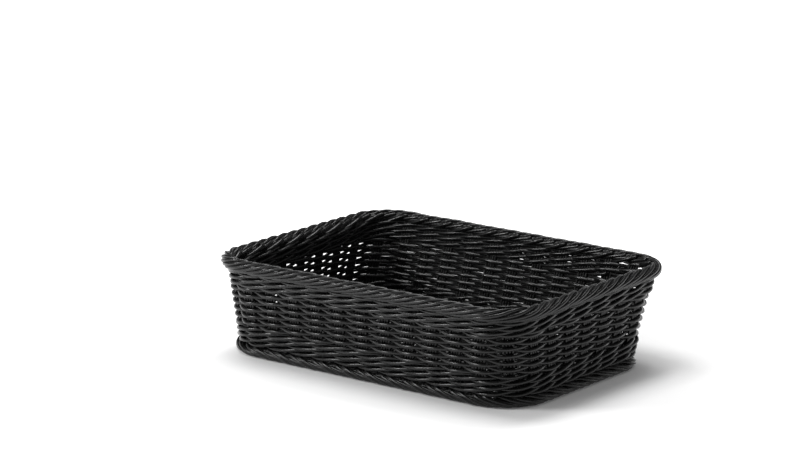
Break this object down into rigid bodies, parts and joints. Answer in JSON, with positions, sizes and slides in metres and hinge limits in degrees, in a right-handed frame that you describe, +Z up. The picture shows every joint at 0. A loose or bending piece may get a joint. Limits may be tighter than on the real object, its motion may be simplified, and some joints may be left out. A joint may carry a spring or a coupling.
{
  "type": "storage basket",
  "caption": "Rectangular tray-shaped storage basket woven from round black plastic strands, with a rolled rope-like rim, a plaited foot and a flat woven base.",
  "frame": {"origin": "on the floor, under the middle of the rim", "axes": "+X along the long side, +Y along the short side, +Z up through the open top"},
  "size_m": [0.4, 0.31, 0.11],
  "materials": {
    "woven_strand": "black extruded plastic cane with a soft satin sheen",
    "hoop_wire": "plain drawn wire, hidden in the rim"
  },
  "bodies": {
    "root": {"stake_01": "woven_strand", "stake_02": "woven_strand", "stake_03": "woven_strand", "stake_04": "woven_strand", "stake_05": "woven_strand", "stake_06": "woven_strand", "stake_07": "woven_strand", "stake_08": "woven_strand", "stake_09": "woven_strand", "stake_10": "woven_strand", "stake_11": "woven_strand", "stake_12": "woven_strand", "stake_13": "woven_strand", "stake_14": "woven_strand", "stake_15": "woven_strand", "stake_16": "woven_strand", "stake_17": "woven_strand", "stake_18": "woven_strand", "stake_19": "woven_strand", "stake_20": "woven_strand", "stake_21": "woven_strand", "stake_22": "woven_strand", "stake_23": "woven_strand", "stake_24": "woven_strand", "stake_25": "woven_strand", "stake_26": "woven_strand", "stake_27": "woven_strand", "stake_28": "woven_strand", "stake_29": "woven_strand", "stake_30": "woven_strand", "stake_31": "woven_strand", "stake_32": "woven_strand", "stake_33": "woven_strand", "stake_34": "woven_strand", "stake_35": "woven_strand", "stake_36": "woven_strand", "stake_37": "woven_strand", "stake_38": "woven_strand", "stake_39": "woven_strand", "stake_40": "woven_strand", "weaver_lower": "woven_strand", "weaver_upper": "woven_strand", "bottom_wale_1": "woven_strand", "bottom_wale_2": "woven_strand", "bottom_wale_3": "woven_strand", "top_wale_1": "woven_strand", "top_wale_2": "woven_strand", "top_wale_3": "woven_strand", "rim_border": "woven_strand", "rim_plait": "woven_strand", "foot_border": "woven_strand", "base_mat": "woven_strand", "base_rib_1": "woven_strand", "base_rib_2": "woven_strand", "base_rib_3": "woven_strand", "base_rib_4": "woven_strand", "base_rib_5": "woven_strand", "base_rib_6": "woven_strand", "base_rib_7": "woven_strand", "rim_hoop": "hoop_wire"}
  },
  "joints": []
}
